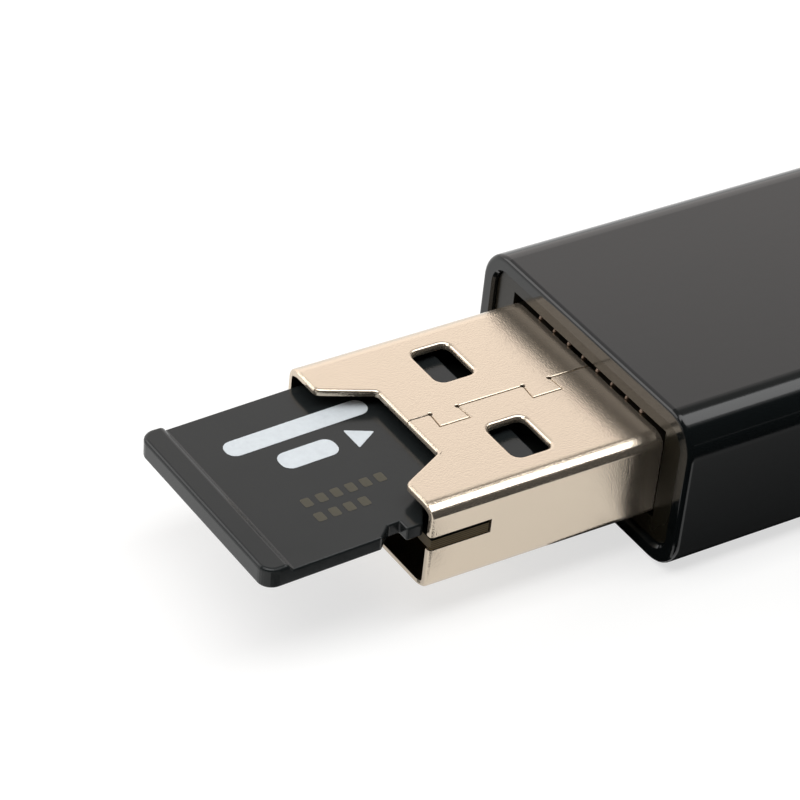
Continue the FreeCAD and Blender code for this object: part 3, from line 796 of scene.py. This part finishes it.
# %% Cut the seam
seam_gap, seam_roll, seam_margin = 0.04, 0.045, 0.2
seam_overrun, seam_lead, tab_pitch = 0.5, 1.2, 5.0
notch_back_x = mouth_x + notch_depth
tab_starts = [notch_back_x + seam_lead, notch_back_x + seam_lead + tab_pitch]
tab_length, tab_flare, tab_depth = 1.45, 0.08, 0.95
relief_radius = 0.1
seam_start = notch_back_x - seam_overrun
bpy.ops.object.select_all(action="DESELECT")
bpy.ops.mesh.primitive_plane_add(size=1, rotation=(math.radians(90), 0, 0),
                                 location=((seam_start + tab_starts[0]) / 2 * mm, 0, shell_high.z * mm))
seam = bpy.context.object
seam.scale = ((tab_starts[0] - seam_start) * mm, 3 * sheet * mm, 1)
bpy.ops.object.transform_apply(location=True, rotation=True, scale=True)
open_piece(seam)
pick("EDGE", lambda middle, way: abs(middle.x - tab_starts[0]) < exact)
for start, following in zip(tab_starts, tab_starts[1:] + [shell_end_x + 2 * sheet]):
    push(-tab_flare, -tab_depth)
    push(tab_length + 2 * tab_flare)
    push(-tab_flare, tab_depth)
    push(following - start - tab_length)
close_piece()
add_modifier(seam, "SOLIDIFY", thickness=seam_gap * mm, offset=0, use_even_offset=True)
cut_out(shell, seam)
for start in tab_starts:
    for corner in (start, start + tab_length):
        bpy.ops.object.select_all(action="DESELECT")
        bpy.ops.mesh.primitive_cylinder_add(vertices=16, radius=relief_radius * mm, depth=4 * sheet * mm,
                                            location=(corner * mm, 0, shell_high.z * mm))
        bpy.ops.object.transform_apply(location=True, rotation=True, scale=True)
        cut_out(shell, bpy.context.object)
open_piece(shell)
seam_edges = pick("EDGE", lambda middle, way: (
    abs(middle.z - shell_high.z) < exact and -tab_depth - seam_margin < middle.y < seam_margin
    and notch_back_x + seam_margin < middle.x < shell_end_x - seam_margin), sharp=60)
round_off(seam_roll, 2)
close_piece()
print("seam edges:", seam_edges)

# %% [markdown]
# The shell is plated alike outside and in, but little light gets in. So its inner walls and floor, and the
# end that sits in the housing, get a darker nickel than the rest, which is painted shade. A cut across the
# shell parts that end off. Where cuts and rolled edges met, some corners doubled, so they are merged.
# Weighted normals keep the flat walls flat in their reflections, right up to the rolled edges.

# %% Finish the shell
def in_mm(corners):
    """Gives corners in mm, rounded."""
    return [[round(value / mm, 2) for value in corner] for corner in corners]


def box_of(piece):
    """Gives a piece's lowest and highest corners in mm."""
    spreads = list(zip(*(vertex.co for vertex in piece.data.vertices)))
    return in_mm([[end(spread) for spread in spreads] for end in (min, max)])


doubled, inner_share = 0.002, 0.8
frame_face_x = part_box("front_frame")[0].x / mm
open_piece(shell)
slice_across(0, frame_face_x)
bpy.ops.mesh.select_all(action="SELECT")
bpy.ops.mesh.remove_doubles(threshold=doubled * mm)
close_piece()
add_modifier(shell, "WEIGHTED_NORMAL", keep_sharp=True, weight=100)
shell.data.materials.append(nickel)
shell.data.materials.append(painted_shade_nickel)
# Faces inside the shell and in the housing get the darker nickel, which is painted shade.
for face in shell.data.polygons:
    middle = face.center / mm
    inside = skin_depth(middle) > inner_share * sheet and middle.z < shell_high.z - 2 * sheet
    if inside or middle.x > frame_face_x:
        face.material_index = 1
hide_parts("plug_shell")
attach(shell, "reader")
print("shell", box_of(shell), "drawn", in_mm(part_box("plug_shell")))

# %% [markdown]
# ## Crushed ribs
#
# The shell was pushed in under small ribs of the black frame, and their front ends are crushed. The ends
# are painted pale brown, a painted highlight for the light they catch, so they show as light dots in the
# dark gap over the shell. One end is a block whose edges are rounded; the others are copies of it,
# squeezed by different amounts.

# %% Model the crushed ends
def slide(x=0, y=0, z=0):
    """Moves what is selected."""
    bpy.ops.transform.translate(value=(x * mm, y * mm, z * mm))


rib_pitch = 1.15
squeezes = (0.7, 0.55, 0.9, 0.6, 0.8, 0.65, 0.75)
first_y = -len(squeezes) / 2 * rib_pitch
tip_front_x, tip_back_x = frame_face_x + 0.04, frame_face_x + 0.32
tip_low_z, tip_high_z = shell_high.z + 0.003, shell_high.z + 0.16
tip_half, tip_lean, tip_radius = 0.1, 0.06, 0.04
# The pale brown is a painted highlight on the rib ends.
crushed = make_finish("painted_rib_highlight", (0.30, 0.21, 0.15), (0.16, 0.11, 0.08), (0.35, 0.5),
                      grain_size=0.05, blotch_size=0.3, bump=0.006)
tip = add_block("crushed_rib_1", (tip_front_x, first_y - tip_half, tip_low_z),
                (tip_back_x, first_y + tip_half, tip_high_z))
open_piece(tip)
pick("VERT", lambda place, way: place.x < tip_front_x + near and place.z > tip_high_z - near)
slide(x=tip_lean)
bpy.ops.mesh.select_all(action="SELECT")
round_off(tip_radius, 3)
close_piece()
bpy.ops.object.shade_smooth()
tip.data.materials.append(crushed)
tips = [tip]
for number, squeeze in enumerate(squeezes, start=1):
    bpy.ops.object.select_all(action="DESELECT")
    tip.select_set(True)
    bpy.context.view_layer.objects.active = tip
    bpy.ops.object.duplicate(linked=False)
    copy = bpy.context.object
    copy.name = f"crushed_rib_{number + 1}"
    open_piece(copy)
    bpy.ops.mesh.select_all(action="SELECT")
    bpy.ops.transform.resize(value=(1, squeeze, 1))
    slide(y=number * rib_pitch)
    close_piece()
    tips.append(copy)
for piece in tips:
    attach(piece, "reader")
print("crushed ends:", len(tips), box_of(tips[-1]))

# %% [markdown]
# ## Memory card
#
# The card is one moulding, thin, with a grip lip across its tail, a notch and a step in its near side,
# and softly rounded corners. It is shaped as one would carve it: a block as wide as the narrow front
# part, sliced where the outline turns, whose side is then drawn out in two steps and whose corners are
# moved to make the slopes.

# %% Shape the card
card_length, card_out = 15.0, 8.0
tail_x, nose_x = mouth_x - card_out, mouth_x + card_length - card_out
far_y, near_y, lead_y, notch_y = 5.5, -5.5, -4.2, -4.9
card_low_z, card_high_z, lip_high_z = 4.75, 5.45, 5.75
slope_start, notch_start, notch_end = nose_x - 9.2, nose_x - 8.5, nose_x - 7.9
shoulder_start, shoulder_end = nose_x - 7.1, nose_x - 6.2
lip_crest, lip_end = tail_x + 1.2, tail_x + 1.35
card = add_block("moulded_card", (tail_x, lead_y, card_low_z), (nose_x, far_y, card_high_z))
open_piece(card)
for turn in (lip_crest, lip_end, slope_start, notch_start, notch_end, shoulder_start, shoulder_end):
    slice_across(0, turn)
pick("FACE", lambda middle, way: way.y < -aligned and middle.x < shoulder_end)
push(y=notch_y - lead_y)
pick("FACE", lambda middle, way: (way.y < -aligned and middle.x < shoulder_end
                                  and not notch_start < middle.x < notch_end))
push(y=near_y - notch_y)
pick("VERT", lambda place, way: abs(place.x - notch_start) < near and place.y < near_y + near)
slide(y=notch_y - near_y)
for step_y in (near_y, notch_y):
    pick("VERT", lambda place, way: abs(place.x - shoulder_end) < near and abs(place.y - step_y) < near)
    slide(y=lead_y - step_y)
pick("FACE", lambda middle, way: way.z > aligned and middle.x < lip_end)
push(z=lip_high_z - card_high_z)
pick("VERT", lambda place, way: abs(place.x - lip_end) < near and place.z > lip_high_z - near)
slide(z=card_high_z - lip_high_z)
bpy.ops.mesh.select_all(action="SELECT")
bpy.ops.mesh.remove_doubles(threshold=1e-6)
bpy.ops.mesh.dissolve_limited(angle_limit=math.radians(1))
bpy.ops.mesh.select_all(action="SELECT")
bpy.ops.mesh.normals_make_consistent(inside=False)
close_piece()
print("carved card:", len(card.data.polygons), "faces", box_of(card))

# %% [markdown]
# A moulding has no sharp edges, or it would stick in its mould. The upright corners get their own large
# radius first, then the rim of the lip, which is softest, and a Bevel modifier softens every edge that
# is left.

# %% Soften the card
tail_radius, nose_radius, lip_radius, edge_radius = 0.7, 0.8, 0.18, 0.09
open_piece(card)
tail_corners = pick("EDGE", lambda middle, way: abs(way.z) > aligned and middle.x < tail_x + near)
round_off(tail_radius, 8)
nose_corners = pick("EDGE", lambda middle, way: abs(way.z) > aligned and middle.x > nose_x - near)
round_off(nose_radius, 8)
lip_edges = pick("EDGE", lambda middle, way: middle.z > lip_high_z - near, sharp=30)
round_off(lip_radius, 4)
close_piece()
add_modifier(card, "BEVEL", width=edge_radius * mm, segments=3, limit_method="ANGLE",
             angle_limit=math.radians(35))
print("corners:", tail_corners, "at the tail,", nose_corners, "at the nose; lip edges:", lip_edges)

# %% [markdown]
# Eight gold pads lie flush in the card's underside, so their places are cut out of it with one block and
# an Array modifier. Last, the card is turned a little about the mouth's sill, because the springs in the
# slot press its nose up. The slope is the nose's lift over the length that is inside when the card is
# pushed home.

# %% Sink the pads and tilt the card
pad_count, pad_pitch, pad_width, pad_length = 8, 1.1, 0.8, 2.9
pad_setback, pad_depth, cutter_drop = 0.6, 0.04, 0.2
pad_middle_y = (far_y + lead_y) / 2
pad_low_y = pad_middle_y - (pad_count - 1) / 2 * pad_pitch - pad_width / 2
pad_end_x = nose_x - pad_setback
pads = add_block("pad_cutter", (pad_end_x - pad_length, pad_low_y, card_low_z - cutter_drop),
                 (pad_end_x, pad_low_y + pad_width, card_low_z + pad_depth))
add_modifier(pads, "ARRAY", count=pad_count, use_relative_offset=False, use_constant_offset=True,
             constant_offset_displace=(0, pad_pitch * mm, 0))
cut_out(card, pads)
nose_lift, seated_out = 0.55, 0.3
card_tilt = math.atan(nose_lift / (card_length - seated_out))


def tilt_with_card(piece):
    """Turns a level piece nose up about the mouth's sill, as the card lies."""
    open_piece(piece)
    bpy.ops.mesh.select_all(action="SELECT")
    bpy.ops.transform.rotate(value=card_tilt, orient_axis="Y",
                             center_override=(mouth_x * mm, 0, card_low_z * mm))
    close_piece()


tilt_with_card(card)
add_modifier(card, "WEIGHTED_NORMAL", keep_sharp=True, weight=100)
card.data.materials.append(card_black)
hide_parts("memory_card")
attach(card, "card")
print("card", box_of(card), "drawn", in_mm(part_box("memory_card")))

# %% [markdown]
# ## Print on the card
#
# Cards carry a few printed marks. Here they are plain ones: two bars and an arrow that shows which way
# the card goes in, in white ink, and rows of faint dashes. Ink stands a few thousandths of a millimetre
# proud, so each mark is a very thin block with rounded corners, and they are joined into one piece per
# ink.

# %% Print the marks
ink_low_z, ink_high_z = card_high_z - 0.001, card_high_z + 0.008


def print_mark(name, low, high, corner):
    """Prints a block of ink between two (x, y) corners, with rounded corners."""
    mark = add_block(name, (*low, ink_low_z), (*high, ink_high_z))
    open_piece(mark)
    pick("EDGE", lambda middle, way: abs(way.z) > aligned)
    round_off(corner, 5)
    close_piece()
    return mark


def join_marks(marks, material):
    """Joins marks into the first one, tilts it with the card and gives it its ink."""
    bpy.ops.object.select_all(action="DESELECT")
    for mark in marks:
        mark.select_set(True)
    bpy.context.view_layer.objects.active = marks[0]
    bpy.ops.object.join()
    tilt_with_card(marks[0])
    marks[0].data.materials.append(material)
    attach(marks[0], "card")
    print(marks[0].name, len(marks), "marks", box_of(marks[0]))


white_ink = make_finish("white_ink", (0.64, 0.69, 0.72), (0.52, 0.56, 0.59), (0.45, 0.55),
                        grain_size=0.04, blotch_size=0.25, bump=0.002)
faint_ink = make_finish("faint_ink", (0.062, 0.056, 0.032), (0.034, 0.031, 0.021), (0.45, 0.55),
                        grain_size=0.04, blotch_size=0.2, bump=0.002)
bar_radius, arrow_radius, dash_radius = 0.5, 0.08, 0.1
arrow_x, arrow_tip_x = tail_x + 8.3, tail_x + 9.5
arrow = add_block("card_arrow", (arrow_x, 0.3, ink_low_z), (arrow_tip_x, 1.7, ink_high_z))
open_piece(arrow)
pick("VERT", lambda place, way: place.x > arrow_tip_x - near)
bpy.ops.transform.resize(value=(1, 0, 1))
bpy.ops.mesh.select_all(action="SELECT")
bpy.ops.mesh.remove_doubles(threshold=1e-6)
pick("EDGE", lambda middle, way: abs(way.z) > aligned)
round_off(arrow_radius, 3)
close_piece()
join_marks([
    print_mark("white_print", (tail_x + 2.9, 2.3), (tail_x + 10.2, 3.4), bar_radius),
    print_mark("second_bar", (tail_x + 4.6, 0.4), (tail_x + 7.5, 1.6), bar_radius),
    arrow,
], white_ink)
dash_pitch, dash_length, dash_width, row_pitch = 0.75, 0.45, 0.6, 1.1
dashes = []
for row, count in enumerate((6, 4)):
    for number in range(count):
        name = "dash" if dashes else "faint_print"
        low_x, low_y = tail_x + 4.0 + dash_pitch * number, -2.2 - row_pitch * row
        high = (low_x + dash_length, low_y + dash_width)
        dashes.append(print_mark(name, (low_x, low_y), high, dash_radius))
join_marks(dashes, faint_ink)
